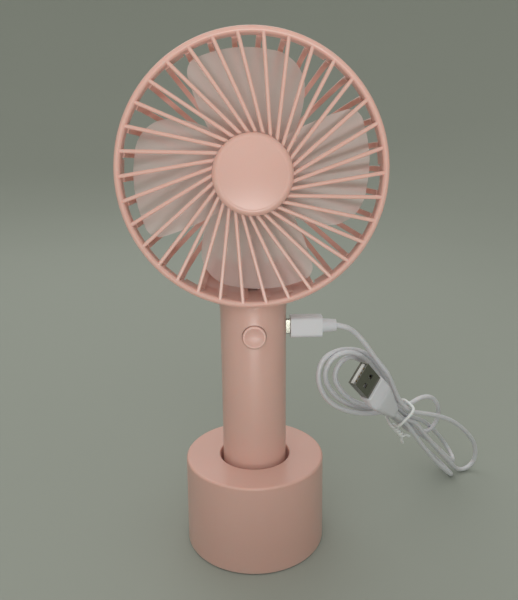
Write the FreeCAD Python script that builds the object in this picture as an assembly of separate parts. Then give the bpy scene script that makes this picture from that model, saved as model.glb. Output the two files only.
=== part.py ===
import FreeCAD, Part
import math
import os

# Handheld electric fan standing in its own round stand, with its charging cord.
# Millimetres, +Z up. The origin is the middle of the stand's underside, -Y is the front
# that the air comes out of, and +X is the side with the charging socket.

V = FreeCAD.Vector
X_AXIS = V(1, 0, 0)
Y_AXIS = V(0, 1, 0)
Z_AXIS = V(0, 0, 1)

# Driving dimensions of the head
rim_radius = 55.4
rim_width = 2.8
rim_front = -18.6
front_ring_depth = 5.6
rear_ring_depth = 3.4
rear_ring_width = 1.6
rib_count = 34
front_rib_width = 1.55
front_rib_depth = 2.0
front_rib_chamfer = 0.35
front_rib_setback = 0.2
front_rib_offset = 8.1
front_rib_phase = 5.15
hub_plate_radius = 15.2
hub_plate_thickness = 1.6
hub_cap_radius = 16.35
hub_cap_height = 3.0
hub_cap_edge = 2.6
hub_cap_crown = 0.7
hub_cap_flat = 2.0
latch_gaps = (2, 7, 13, 19, 25, 30)
latch_width = 6.0
latch_thickness = 1.0
latch_hook = 0.7
latch_root = 1.5
rear_rib_width = 2.2
rear_rib_depth = 3.2
rear_rib_lag = 1.5
bowl_shoulder_inset = 5.4
bowl_shoulder_y = 8.5
bowl_back_inset = 19.4
bowl_back_y = 16.0
rear_hub_radius = 22.0
rear_hub_y = 18.0
rear_hub_floor = 3.2
rear_hub_lip = 2.0
bowl_wall = 1.8
bowl_wall_sunk = 0.25
bowl_wall_half_angle = 26.0
bowl_wall_height = 13.4
spine_width = 5.6
spine_depth = 4.0
spine_sunk = 0.7
spine_front = 1.0
wire_cover_thickness = 1.3
wire_cover_depth = 1.0
rear_cover_edge = 1.3
rear_cover_rise = 1.6

# Driving dimensions of the impeller
tip_clearance = 6.1
blade_count = 4
blade_phase = -4.7
blade_thickness = 1.1
blade_middle_y = -8.4
blade_root_radius = 10.0
blade_root_slope = 0.36
blade_tip_slope = 0.26
blade_camber = 1.6
impeller_hub_radius = 15.0
impeller_hub_front = -15.6
impeller_hub_back = -3.2
impeller_hub_wall = 1.5
impeller_boss_radius = 3.4
impeller_boss_back = -5.0

# Driving dimensions of the motor
shaft_radius = 1.0
shaft_front = -13.2
shaft_back = 15.6
motor_radius = 12.2
motor_wall = 0.8
motor_front = 2.7
motor_back = 14.4
motor_boss_radius = 3.0
motor_boss_length = 1.4
end_cap_thickness = 1.7
magnet_thickness = 1.7
magnet_half_angle = 62.0
magnet_front = 4.6
magnet_back = 12.0
core_radius = 9.0
core_front = 5.2
core_back = 11.2
core_slots = 3
core_slot_width = 5.0
commutator_radius = 2.6
commutator_front = 11.8
commutator_back = 13.9
motor_cup_wall = 1.8
motor_cup_floor = 1.6
bush_radius = 2.2
bush_length = 2.4
mount_screw_offset = 7.5

# Driving dimensions of the handle
handle_radius = 15.0
handle_wall = 1.6
handle_bottom = 8.0
handle_floor = 2.0
handle_edge = 1.2
flare_radius = 16.0
flare_length = 10.0
neck_plug_length = 5.6
neck_plug_wall = 1.8
neck_overlap = 20.4
cradle_shares = (0.12, 0.49, 0.86)
cradle_thickness = 1.6
cradle_seam_gap = 1.6
neck_screw_rise = 3.6
boss_radius = 3.0
boss_collar = 0.4
low_screw_length = 12.0
neck_screw_length = 8.0
mount_screw_length = 3.4
mount_screw_head_radius = 1.8
small_screw_head_height = 1.1
screw_radius = 1.0
screw_head_radius = 2.1
screw_head_height = 1.4
screw_recess = 3.4
boss_split_y = 3.8

# Driving dimensions of the button, the board and the socket
button_drop = 5.7
button_radius = 5.2
button_dish_radius = 4.3
button_dish_depth = 0.6
button_proud = 0.7
button_dome = 0.5
button_stop_y = -12.3
button_flange_radius = 6.3
button_flange_thickness = 0.9
button_collar_radius = 7.7
button_collar_back = -10.2
button_stem_radius = 1.5
button_travel = 0.5
board_thickness = 1.2
board_length = 25.4
board_gap = 1.0
board_half_width = 10.8
switch_size = 6.0
switch_depth = 3.4
plunger_radius = 1.6
plunger_proud = 0.8
plunger_sunk = 0.9
socket_drop = 5.2
socket_mouth_x = 14.5
socket_length = 5.8
socket_inner_width = 7.05
socket_inner_height = 2.0
socket_wall = 0.35
socket_port_margin = 0.45
tongue_width = 3.7
tongue_thickness = 0.6
tongue_length = 4.2
board_front = -socket_inner_height / 2 - socket_wall - board_thickness

# Driving dimensions of the battery
cell_radius = 9.2
cell_length = 65.0
sleeve_thickness = 0.15
foam_thickness = 1.6
top_foam_thickness = 0.9
tab_thickness = 0.3
tab_width = 5.0
wire_radius = 0.6

# Driving dimensions of the stand
stand_height = 43.0
stand_top_radius = 32.8
stand_bottom_radius = 33.3
stand_wall = 2.0
stand_edge = 1.0
stand_shell_lift = 0.6
socket_mouth_radius = 16.6
socket_grip_radius = 15.3
socket_funnel_depth = 8.0
socket_mouth_edge = 0.4
socket_stub_radius = 12.0
socket_tube_wall = 1.9
stand_rib_count = 6
stand_rib_thickness = 1.4
stand_rib_drop = 14.0
floor_plate_bottom = 1.0
floor_plate_thickness = 2.0
foot_pad_margin = 0.9
foot_pad_width = 12.4
stand_boss_inset = 5.9
stand_boss_radius = 3.2
stand_screw_head_radius = 2.1
stand_boss_count = 3
stand_pilot_length = 9.0
stand_screw_length = 6.5

# Driving dimensions of the charging cord
plug_metal_width = 6.85
plug_metal_height = 1.8
plug_metal_wall = 0.25
plug_metal_showing = 2.0
plug_insertion = 4.4
plug_hollow = 5.0
overmould_length = 14.5
overmould_width = 9.8
overmould_height = 7.0
overmould_edge = 1.4
relief_length = 6.6
relief_radius_near = 3.3
relief_radius_far = 2.8
cord_radius = 1.25
cord_route_x = (0.0, 7.0, 13.4, 18.9, 23.2)
cord_route_y = (0.0, 0.5, 5.0, 9.4, 13.0)
cord_route_z = (0.0, -0.6, -6.8, -15.4, -23.6)
bundle_foot = (131.5, 55.0, 5.2)
bundle_faces = (-0.23, -0.91, 0.36)
bundle_thickness = 7.8
upper_loop_at = (26.0, -14.0)
upper_loop_radius = 16.6
upper_hole_radius = 8.0
lower_loop_at = (134.5, -1.2)
lower_loop_radius = 12.4
lower_hole_radius = 6.0
waist_at = (73.0, -9.6)
waist_radius = 5.4
hole_waist_gap = 24.0
tie_radius = 0.8
tie_slack = 0.6
tie_front = 8.0
tie_front_corner = 3.4
tie_back_corner = 1.2
tie_tail_length = 16.0
usb_a_metal_width = 12.0
usb_a_metal_height = 4.5
usb_a_metal_wall = 0.35
usb_a_metal_length = 12.9
usb_a_mouth = (21.7, -8.9, 10.1)
usb_a_rear = (58.6, -11.4, 10.2)
usb_a_roll = -22.0
usb_a_body_width = 14.4
usb_a_body_height = 7.4
usb_a_body_straight = 9.0
usb_a_body_edge = 1.8
usb_a_tail_width = 6.6
usb_a_tail_height = 4.6
cord_tail_steps = ((4.4, -0.3, 0.0), (9.3, -0.2, -2.6), (14.3, 0.0, -4.8), (19.8, 0.2, -5.8))

# Clearances
seat_gap = 0.10
running_gap = 0.04
sliding_gap = 0.30
fit_gap = 0.02
button_gap = 0.20

# Heights of the stack in the handle, from the stand's socket floor up to the head
handle_inner = handle_radius - handle_wall
cell_bottom = handle_bottom + handle_floor + foam_thickness + tab_thickness
cell_top = cell_bottom + cell_length
boss_height = cell_top + tab_thickness + top_foam_thickness + seat_gap + boss_radius + boss_collar
board_bottom = boss_height + boss_radius + boss_collar + board_gap
board_top = board_bottom + board_length
button_height = board_top - button_drop
socket_height = board_top - socket_drop
neck_plug_bottom = board_top + 2.6
neck_screw_height = neck_plug_bottom + neck_screw_rise
head_height = neck_plug_bottom + neck_plug_length + rim_radius
neck_top = head_height - rim_radius + neck_overlap
flare_start = neck_plug_bottom - 2.0
flare_end = flare_start + flare_length
socket_cone_bottom = stand_height - socket_funnel_depth


def save(name, shape):
    shape.exportStep("parts/" + name + ".step")
    print(name, "solids", len(shape.Solids), "valid", shape.isValid(), "volume %.1f" % shape.Volume)


def along(axis, radius, start, end, at=(0.0, 0.0)):
    # A cylinder from start to end along an axis, with its middle at the two other coordinates.
    if axis == "x":
        return Part.makeCylinder(radius, end - start, V(start, at[0], at[1]), X_AXIS)
    if axis == "y":
        return Part.makeCylinder(radius, end - start, V(at[0], start, at[1]), Y_AXIS)
    return Part.makeCylinder(radius, end - start, V(at[0], at[1], start), Z_AXIS)


def block(low, high):
    size = V(*high) - V(*low)
    return Part.makeBox(size.x, size.y, size.z, V(*low))


def outline(start, steps, place):
    # A closed face. A step of one point is a straight side, and a step of two is an arc
    # through the first to the second.
    edges = []
    here = place(start)
    for step in steps:
        there = place(step[-1])
        if len(step) == 1:
            edges.append(Part.LineSegment(here, there).toShape())
        else:
            edges.append(Part.Arc(here, place(step[0]), there).toShape())
        here = there
    edges.append(Part.LineSegment(here, place(start)).toShape())
    return Part.Face(Part.Wire(edges))


def on_head(point):
    # Radius and depth of the head, drawn in the plane that its axis turns.
    return V(point[0], point[1], 0)


def turned_head(start, steps, angle=360.0):
    return outline(start, steps, on_head).revolve(V(0, 0, 0), Y_AXIS, angle)


def clockwise(shape, degrees):
    # Turns a piece of the head about the fan's axis, clockwise as seen from the front.
    turned = shape.copy()
    turned.rotate(V(0, 0, 0), Y_AXIS, degrees)
    return turned


def lifted(shape):
    raised = shape.copy()
    raised.translate(V(0, 0, head_height))
    return raised


def fused(shapes):
    return shapes[0].multiFuse(shapes[1:]).removeSplitter()


def tube(points, radius):
    # Straight runs joined by arcs, each as large as its two runs allow.
    corners = [V(*p) for p in points]
    edges = []
    here = corners[0]
    radii = []
    for before, corner, after in zip(corners, corners[1:], corners[2:]):
        back = (before - corner).normalize()
        ahead = (after - corner).normalize()
        run = 0.45 * min((before - corner).Length, (after - corner).Length)
        half_turn = (math.pi - back.getAngle(ahead)) / 2
        bend = run / math.tan(half_turn)
        radii.append(round(bend, 1))
        first = corner + back * run
        last = corner + ahead * run
        middle = (back + ahead).normalize()
        centre_distance = bend / math.cos(half_turn)
        crown = corner + middle * (centre_distance - bend)
        edges.append(Part.LineSegment(here, first).toShape())
        edges.append(Part.Arc(first, crown, last).toShape())
        here = last
    edges.append(Part.LineSegment(here, corners[-1]).toShape())
    path = Part.Wire(edges)
    section = Part.Wire(Part.makeCircle(radius, corners[0], corners[1] - corners[0]))
    solid = path.makePipeShell([section], True, True)
    return solid, path.Length, radii


# ---- head ----------------------------------------------------------------------------

tip_radius = rim_radius - tip_clearance
bowl_shoulder_radius = rim_radius - bowl_shoulder_inset
bowl_back_radius = rim_radius - bowl_back_inset
bowl_wall_inner_radius = rim_radius - bowl_wall_height
front_ring_back = rim_front + front_ring_depth
rear_ring_back = front_ring_back + rear_ring_depth
rim_inner = rim_radius - rim_width
rear_ring_inner = rim_radius - rear_ring_width
rib_pitch = 360.0 / rib_count


def front_ring():
    edge = rim_width / 2
    lip = 0.3 * edge
    return turned_head(
        (rim_inner, front_ring_back),
        [
            [(rim_inner, rim_front + edge)],
            [(rim_inner + lip, rim_front + lip), (rim_inner + edge, rim_front)],
            [(rim_radius - lip, rim_front + lip), (rim_radius, rim_front + edge)],
            [(rim_radius, front_ring_back)],
        ],
    )


def front_rib():
    half = front_rib_width / 2
    front = rim_front + front_rib_setback
    back = front + front_rib_depth
    slope = half - front_rib_chamfer
    inner = math.sqrt((hub_plate_radius - rim_width) ** 2 - front_rib_offset ** 2)
    outer = math.sqrt((rim_inner + rim_width / 2) ** 2 - front_rib_offset ** 2)

    def place(point):
        return V(front_rib_offset + point[0], point[1], inner)

    section = outline(
        (-half, back),
        [
            [(-half, front + front_rib_chamfer)],
            [(-slope, front)],
            [(slope, front)],
            [(half, front + front_rib_chamfer)],
            [(half, back)],
        ],
        place,
    )
    bar = section.extrude(V(0, 0, outer - inner))
    rim_end = math.degrees(math.asin(front_rib_offset / rim_inner))
    return clockwise(bar, front_rib_phase - rim_end)


def rear_rib_angle(index):
    return front_rib_phase - rear_rib_lag + index * rib_pitch


def latch():
    # A snap tongue on the front ring that hooks behind the rear ring.
    outer = rear_ring_inner - seat_gap
    inner = outer - latch_thickness
    hook_front = rear_ring_back + seat_gap
    hook_back = hook_front + 0.9
    profile = turned_head(
        (inner, front_ring_back - latch_root),
        [
            [(inner, hook_back)],
            [(outer, hook_back)],
            [(outer + latch_hook, hook_front + 0.2)],
            [(outer + latch_hook, hook_front)],
            [(outer, hook_front)],
            [(outer, front_ring_back - latch_root)],
        ],
    )
    half = latch_width / 2
    keep = block((-half, rim_front, 0), (half, rear_hub_y, rim_radius))
    return profile.common(keep)


def cage_front():
    pieces = [front_ring(), along("y", hub_plate_radius, rim_front, rim_front + hub_plate_thickness)]
    rib = front_rib()
    for index in range(rib_count):
        pieces.append(clockwise(rib, index * rib_pitch))
    tongue = latch()
    for gap in latch_gaps:
        pieces.append(clockwise(tongue, rear_rib_angle(gap + 0.5)))
    return lifted(fused(pieces))


def hub_cap():
    front = rim_front - hub_cap_height
    edge_y = rim_front - 0.8
    edge_rise = hub_cap_height - 0.8 - hub_cap_crown
    shoulder = hub_cap_radius - hub_cap_edge
    dish = turned_head(
        (0, rim_front),
        [
            [(hub_cap_radius - 0.5, rim_front)],
            [(hub_cap_radius, rim_front - 0.5)],
            [(hub_cap_radius, edge_y)],
            [(hub_cap_radius - 0.25 * hub_cap_edge, edge_y - 0.62 * edge_rise), (shoulder, edge_y - edge_rise)],
            [(0.55 * shoulder, front + 0.27 * hub_cap_crown), (hub_cap_flat, front)],
            [(0, front)],
        ],
    )
    return lifted(dish)


def bowl_steps(inset):
    # The bowl's curve from the ring to the rear hub, moved inwards by inset.
    return [
        [(rim_radius - 0.5 - inset, rear_ring_back + 3.5)],
        [
            (bowl_shoulder_radius - 0.8 * inset, bowl_shoulder_y - 0.6 * inset),
            (bowl_back_radius - 0.25 * inset, bowl_back_y - 0.95 * inset),
        ],
        [(rear_hub_radius - rear_hub_lip, rear_hub_y - inset)],
    ]


def bowl_band(sunk, depth):
    # A slice of the bowl that starts sunk under its outer curve and goes depth further in.
    outer = bowl_steps(sunk)
    inner = bowl_steps(sunk + depth)
    start = (rim_radius - 0.2 - sunk, front_ring_back + seat_gap)
    steps = list(outer)
    steps.append([inner[2][0]])
    steps.append([inner[1][1]])
    steps.append([inner[1][0], inner[0][0]])
    steps.append([(rim_radius - 0.2 - sunk - depth, front_ring_back + seat_gap)])
    return start, steps


def rear_rib():
    start, steps = bowl_band(0.0, rear_rib_depth)

    def place(point):
        return V(-rear_rib_width / 2, point[1], point[0])

    return outline(start, steps, place).extrude(V(rear_rib_width, 0, 0))


def head_envelope(gap, inset=0.0):
    # Everything inside the head's outer surface, grown by gap or shrunk by inset.
    grow = gap - inset
    curve = bowl_steps(-grow)
    steps = [[(rim_radius + grow, rim_front)], [(rim_radius + grow, rear_ring_back)]] + curve
    steps.append([(0, rear_hub_y + grow)])
    return turned_head((0, rim_front), steps)


def bottom_wall():
    # The closed part of the bowl over the neck.
    start, steps = bowl_band(bowl_wall_sunk, bowl_wall)
    face = outline(start, steps, on_head)
    sector = face.revolve(V(0, 0, 0), Y_AXIS, 2 * bowl_wall_half_angle)
    # The face starts at +X, a quarter turn clockwise from up, so it is turned on to straddle down.
    sector.rotate(V(0, 0, 0), Y_AXIS, 90 - bowl_wall_half_angle)
    return sector.cut(along("y", bowl_wall_inner_radius, rim_front, rear_hub_y + 5))


def spine():
    # The rib that leads the motor's wires down to the neck.
    start, steps = bowl_band(spine_sunk, spine_depth)

    def place(point):
        return V(-spine_width / 2, point[1], -point[0])

    bar = outline(start, steps, place).extrude(V(spine_width, 0, 0))
    front = block((-rim_radius, rim_front - 1, -rim_radius - 1), (rim_radius, spine_front, rim_radius))
    return bar.cut(front)


def rear_hub():
    cup_outer = motor_radius + sliding_gap + motor_cup_wall
    seat = rear_hub_y - rear_cover_edge
    cup = turned_head(
        (motor_boss_radius + sliding_gap, motor_front - motor_cup_floor),
        [
            [(cup_outer, motor_front - motor_cup_floor)],
            [(cup_outer, seat - rear_hub_floor + 1.4)],
            [(rear_hub_radius, seat - rear_hub_floor + 1.4)],
            [(rear_hub_radius, rear_hub_y)],
            [(rear_hub_radius - rear_hub_lip, rear_hub_y)],
            [(rear_hub_radius - rear_hub_lip, seat)],
            [(motor_radius + sliding_gap, seat)],
            [(motor_radius + sliding_gap, motor_front)],
            [(motor_boss_radius + sliding_gap, motor_front)],
        ],
    )
    for side in (-1, 1):
        cup = cup.cut(along("y", screw_radius + seat_gap, 0, motor_front, (side * mount_screw_offset, 0)))
    return cup


def neck_plug():
    # The tube under the bowl that the two handle shells close round.
    radius = handle_radius - handle_wall - seat_gap
    bottom = neck_plug_bottom - head_height
    top = neck_top - head_height
    ring = along("z", radius, bottom, top).cut(along("z", radius - neck_plug_wall, bottom, top))
    boss_low = neck_screw_height - head_height - boss_radius
    boss = block((-boss_radius, 6.0, boss_low), (boss_radius, radius - 1, boss_low + 2 * boss_radius))
    ring = ring.fuse(boss)
    ring = ring.cut(along("y", rim_radius + seat_gap, rim_front, front_ring_back))
    return ring.cut(head_envelope(0.0, bowl_wall / 2))


def wire_route(side):
    # From the motor's rear terminals, down the spine and into the handle.
    x = side * 2 * wire_radius
    places = [
        (6.0, rear_hub_y - 0.8),
        (motor_radius + 1.3, rear_hub_y - 1.1),
        (rear_hub_radius + 2.0, rear_hub_y - 2.4),
        (bowl_back_radius - 0.6, bowl_back_y - 2.6),
        (rim_radius - 8.9, bowl_shoulder_y - 0.3),
        (rim_radius - 3.4, 4.2),
        (rim_radius + 0.6, 1.8),
        (rim_radius + 5.6, -0.2),
        (rim_radius + 10.1, -0.6),
    ]
    return [(x, y, head_height - radius) for radius, y in places]


def wire_channel():
    # An open groove, as wide as both wires, that follows them down the spine.
    route = wire_route(0)
    half = 3 * wire_radius + sliding_gap
    floor_points = [V(-half, y + wire_radius + sliding_gap, z) for x, y, z in route]
    mouth_points = [V(-half, y - spine_depth, z) for x, y, z in reversed(route)]
    ring = floor_points + mouth_points
    ring.append(ring[0])
    return Part.Face(Part.makePolygon(ring)).extrude(V(2 * half, 0, 0))


def wire_cover():
    # The strip that snaps into the groove's mouth and hides the wires.
    cup_outer = motor_radius + sliding_gap + motor_cup_wall
    half = 3 * wire_radius + sliding_gap - seat_gap
    route = [point for point in wire_route(0) if head_height - point[2] > cup_outer + 2][:-2]
    ring = [V(-half, y - wire_cover_depth, z) for x, y, z in route]
    ring += [V(-half, y - wire_cover_depth - wire_cover_thickness, z) for x, y, z in reversed(route)]
    ring.append(ring[0])
    return Part.Face(Part.makePolygon(ring)).extrude(V(2 * half, 0, 0))


def cage_rear():
    ring = turned_head(
        (rear_ring_inner, front_ring_back),
        [[(rim_radius, front_ring_back)], [(rim_radius, rear_ring_back)], [(rear_ring_inner, rear_ring_back)]],
    )
    pieces = [ring, rear_hub()]
    rib = rear_rib()
    for index in range(rib_count):
        pieces.append(clockwise(rib, rear_rib_angle(index)))
    body = fused(pieces)
    for piece in (bottom_wall(), spine(), neck_plug()):
        body = body.fuse(piece)
    screw_y = handle_radius + 1
    pilot = along("y", screw_radius + fit_gap, 0, screw_y, (0, neck_screw_height - head_height))
    return lifted(body.cut(pilot)).cut(wire_channel())


def rear_hub_cover():
    seat = rear_hub_y - rear_cover_edge
    radius = rear_hub_radius - rear_hub_lip - seat_gap
    top = rear_hub_y + rear_cover_rise
    inner_radius = motor_radius + sliding_gap
    cover = turned_head(
        (0, rear_hub_y - 0.2),
        [
            [(inner_radius, rear_hub_y - 0.2)],
            [(inner_radius, seat)],
            [(radius, seat)],
            [(radius, rear_hub_y - 0.3)],
            [(0.6 * radius, rear_hub_y + 0.62 * rear_cover_rise), (2.0, top)],
            [(0, top)],
        ],
    )
    return lifted(cover).cut(wire_channel())


# ---- impeller ------------------------------------------------------------------------


def blade_section(radius):
    # One slice across a blade: a shallow S of even thickness, pitched from front to back.
    share = (radius - blade_root_radius) / (tip_radius - blade_root_radius)
    slope = blade_root_slope + (blade_tip_slope - blade_root_slope) * share
    reach = 0.55 * tip_radius
    half = blade_thickness / 2

    def point(along_chord, side):
        x = along_chord * reach
        y = blade_middle_y + slope * x + blade_camber * (1 - along_chord ** 2) - blade_camber / 2
        return V(x, y + side * half, radius)

    front = Part.Arc(point(-1, -1), point(0, -1), point(1, -1)).toShape()
    tail = Part.LineSegment(point(1, -1), point(1, 1)).toShape()
    back = Part.Arc(point(1, 1), point(0, 1), point(-1, 1)).toShape()
    nose = Part.LineSegment(point(-1, 1), point(-1, -1)).toShape()
    return Part.Wire([front, tail, back, nose])


def blade_outline():
    # The paddle's outline from the front: two bowed sides, a round tip and round corners.
    def place(point):
        return V(point[0] * tip_radius, rim_front, point[1] * tip_radius)

    face = outline(
        (-0.223, 0.183),
        [
            [(-0.381, 0.558), (-0.438, 0.791)],
            [(-0.424, 0.878), (-0.335, 0.942)],
            [(-0.051, 0.999), (0.243, 0.970)],
            [(0.450, 0.852), (0.513, 0.690)],
            [(0.467, 0.456), (0.304, 0.183)],
        ],
        place,
    )
    return face.extrude(V(0, rear_hub_y - rim_front, 0))


def fan_blades():
    span = tip_radius + 1.0 - blade_root_radius
    sections = [blade_section(blade_root_radius + share * span) for share in (0.0, 0.3, 0.65, 1.0)]
    sheet = Part.makeLoft(sections, True, False)
    blade = sheet.common(blade_outline())
    core = along("y", impeller_hub_radius - impeller_hub_wall / 2, rim_front, rear_hub_y)
    blade = blade.cut(core)
    hub = turned_head(
        (0, impeller_hub_front),
        [
            [(impeller_hub_radius - 1.5, impeller_hub_front)],
            [(impeller_hub_radius - 0.45, impeller_hub_front + 0.45), (impeller_hub_radius, impeller_hub_front + 1.5)],
            [(impeller_hub_radius, impeller_hub_back)],
            [(impeller_hub_radius - impeller_hub_wall, impeller_hub_back)],
            [(impeller_hub_radius - impeller_hub_wall, impeller_hub_front + impeller_hub_wall)],
            [(impeller_boss_radius, impeller_hub_front + impeller_hub_wall)],
            [(impeller_boss_radius, impeller_boss_back)],
            [(0, impeller_boss_back)],
        ],
    )
    pieces = [hub]
    for index in range(blade_count):
        pieces.append(clockwise(blade, blade_phase + index * 360.0 / blade_count))
    wheel = fused(pieces)
    bore = along("y", shaft_radius + fit_gap, shaft_front - fit_gap, impeller_boss_back)
    return lifted(wheel.cut(bore))


# ---- motor ---------------------------------------------------------------------------


def motor_shaft():
    pin = along("y", shaft_radius, shaft_front, shaft_back)
    return lifted(pin.makeChamfer(0.2, [e for e in pin.Edges if e.Length > 5 and len(e.Vertexes) == 1]))


def motor_can():
    can = turned_head(
        (motor_boss_radius, motor_front - motor_boss_length),
        [
            [(motor_boss_radius, motor_front)],
            [(motor_radius - 0.8, motor_front)],
            [(motor_radius, motor_front + 0.8)],
            [(motor_radius, motor_back)],
            [(motor_radius - motor_wall, motor_back)],
            [(motor_radius - motor_wall, motor_front + motor_wall)],
            [(bush_radius + fit_gap, motor_front + motor_wall)],
            [(bush_radius + fit_gap, motor_front - motor_boss_length)],
        ],
    )
    for side in (-1, 1):
        hole = along("y", screw_radius + fit_gap, 0, magnet_front, (side * mount_screw_offset, 0))
        can = can.cut(hole)
    return lifted(can)


def motor_end_cap():
    seat = motor_back + end_cap_thickness
    cap = along("y", motor_radius - 0.2, motor_back, seat)
    spigot = along("y", motor_radius - motor_wall - seat_gap, motor_back - 0.8, motor_back)
    spigot = spigot.cut(along("y", motor_radius - 2.5, motor_back - 0.8, motor_back))
    boss = along("y", bush_radius + 1.2, motor_back - 0.3, seat)
    cap = fused([cap, spigot, boss])
    return lifted(cap.cut(along("y", bush_radius + fit_gap, rim_front, seat)))


def motor_bushes():
    front = motor_front - motor_boss_length
    rings = []
    for start, end in ((front, front + bush_length), (motor_back - 0.4, motor_back + end_cap_thickness)):
        ring = along("y", bush_radius, start, end).cut(along("y", shaft_radius + running_gap, start, end))
        rings.append(lifted(ring))
    return Part.makeCompound(rings)


def motor_magnets():
    outer = motor_radius - motor_wall - 0.05
    arcs = []
    for middle in (90.0, 270.0):
        face = outline(
            (outer - magnet_thickness, magnet_front),
            [[(outer, magnet_front)], [(outer, magnet_back)], [(outer - magnet_thickness, magnet_back)]],
            on_head,
        )
        arc = face.revolve(V(0, 0, 0), Y_AXIS, 2 * magnet_half_angle)
        arc.rotate(V(0, 0, 0), Y_AXIS, middle - 90 - magnet_half_angle)
        arcs.append(lifted(arc))
    return Part.makeCompound(arcs)


def motor_armature():
    core = along("y", core_radius, core_front, core_back)
    slot = block((-core_slot_width / 2, core_front, 3.2), (core_slot_width / 2, core_back, core_radius - 1.6))
    mouth = block((-0.8, core_front, 3.2), (0.8, core_back, core_radius + 1))
    for index in range(core_slots):
        core = core.cut(clockwise(slot.fuse(mouth), index * 360.0 / core_slots))
    return lifted(core.cut(along("y", shaft_radius + fit_gap, core_front, core_back)))


def armature_windings():
    # One wound coil round each of the three teeth, shown as its two filled sides.
    coils = []
    for index in range(core_slots):
        for side in (-1, 1):
            low = (side * 1.5 - 0.6, core_front - 0.5, 3.6)
            high = (side * 1.5 + 0.6, core_back + 0.5, core_radius - 2.0)
            coils.append(lifted(clockwise(block(low, high), index * 360.0 / core_slots)))
    return Part.makeCompound(coils)


def commutator():
    drum = along("y", commutator_radius, commutator_front, commutator_back)
    for index in range(core_slots):
        slit = block((-0.2, commutator_front, shaft_radius + 0.6), (0.2, commutator_back, 4))
        drum = drum.cut(clockwise(slit, index * 360.0 / core_slots))
    return lifted(drum.cut(along("y", shaft_radius + fit_gap, commutator_front, commutator_back)))


def motor_brushes():
    # A flat contact spring on each side of the commutator.
    gap = running_gap
    front = commutator_front + 0.5
    back = motor_back - 0.8
    pair = []
    for side in (-1, 1):
        near = side * (commutator_radius + gap)
        far = side * (commutator_radius + gap + 0.5)
        low = (min(near, far), front, -4.6)
        high = (max(near, far), motor_back, 4.6)
        blade = block(low, high).cut(block((-9, back, -3.4), (9, motor_back, 3.4)))
        pair.append(lifted(blade))
    return Part.makeCompound(pair)


def screw(length, head_radius, head_height_value, shank):
    # Pan-head screw with its head's underside at the origin and its point towards -Y.
    head = along("y", head_radius, 0, head_height_value)
    head = head.makeChamfer(0.4, [e for e in head.Edges if len(e.Vertexes) == 1 and e.BoundBox.YMin > 0.5])
    cross = block((-1.0, head_height_value - 0.7, -0.25), (1.0, head_height_value, 0.25))
    cross = cross.fuse(block((-0.25, head_height_value - 0.7, -1.0), (0.25, head_height_value, 1.0)))
    point = Part.makeCone(shank, 0.3, 0.8, V(0, -length + 0.8, 0), V(0, -1, 0))
    shaft = along("y", shank, -length + 0.8, 0)
    return fused([head, shaft, point]).cut(cross)


def motor_mount_screws():
    pair = []
    for side in (-1, 1):
        one = screw(mount_screw_length, mount_screw_head_radius, small_screw_head_height, screw_radius - 0.05)
        one.rotate(V(0, 0, 0), Z_AXIS, 180)
        one.translate(V(side * mount_screw_offset, motor_front - motor_cup_floor, 0))
        pair.append(lifted(one))
    return Part.makeCompound(pair)


# ---- handle --------------------------------------------------------------------------


def handle_blank():
    def place(point):
        return V(point[0], 0, point[1])

    middle = (flare_start + flare_end) / 2 + 1.5
    outer = outline(
        (0, handle_bottom),
        [
            [(handle_radius - handle_edge, handle_bottom)],
            [(handle_radius, handle_bottom + handle_edge)],
            [(handle_radius, flare_start)],
            [(handle_radius + 0.42 * (flare_radius - handle_radius), middle), (flare_radius, flare_end)],
            [(flare_radius, neck_top)],
            [(0, neck_top)],
        ],
        place,
    ).revolve(V(0, 0, 0), Z_AXIS, 360)
    bore = along("z", handle_inner, handle_bottom + handle_floor, neck_top)
    cradles = []
    for share in cradle_shares:
        height = cell_bottom + share * cell_length
        ring = along("z", handle_inner + 0.5, height, height + cradle_thickness)
        bore_radius = cell_radius + sleeve_thickness + seat_gap
        ring = ring.cut(along("z", bore_radius, height, height + cradle_thickness))
        seam = block((-handle_radius, -cradle_seam_gap, height), (handle_radius, cradle_seam_gap, neck_top))
        cradles.append(ring.cut(seam))
    blank = outer.cut(bore)
    blank = fused([blank] + cradles)
    port_half_width = socket_inner_width / 2 + socket_wall + socket_port_margin
    port_half_height = socket_inner_height / 2 + socket_wall + socket_port_margin
    port = block(
        (handle_inner - 2, -port_half_height, socket_height - port_half_width),
        (handle_radius + 2, port_half_height, socket_height + port_half_width),
    )
    return blank.cut(port).cut(lifted(head_envelope(seat_gap)))


def handle_front_shell():
    half = handle_blank().common(block((-20, -20, 0), (20, 0, neck_top)))
    collar = along("y", button_collar_radius, -handle_radius, button_collar_back, (0, button_height))
    collar = collar.common(along("z", handle_radius - 0.4, board_bottom, neck_plug_bottom - 0.4))
    boss = along("y", boss_radius, -handle_inner - 0.8, boss_split_y, (0, boss_height))
    half = fused([half, collar, boss])
    hole = along("y", button_radius + button_gap, -handle_radius - 1, 0, (0, button_height))
    slot = along("y", button_flange_radius + seat_gap, button_stop_y, 0, (0, button_height))
    pilot = along("y", screw_radius + fit_gap, -handle_inner + 2, boss_split_y, (0, boss_height))
    return half.cut(hole).cut(slot).cut(pilot)


def handle_rear_shell():
    half = handle_blank().common(block((-20, 0, 0), (20, 20, neck_top)))
    seat = handle_radius - screw_recess
    post = along("y", boss_radius + boss_collar, boss_split_y, handle_inner + 0.8, (0, boss_height))
    half = fused([half, post])
    recess_radius = screw_head_radius + 0.2
    for height, recess in ((boss_height, seat), (neck_screw_height, handle_radius - 0.3)):
        half = half.cut(along("y", recess_radius, recess, flare_radius + 2, (0, height)))
        half = half.cut(along("y", screw_radius + 0.25, 0, flare_radius + 2, (0, height)))
    return half


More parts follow.
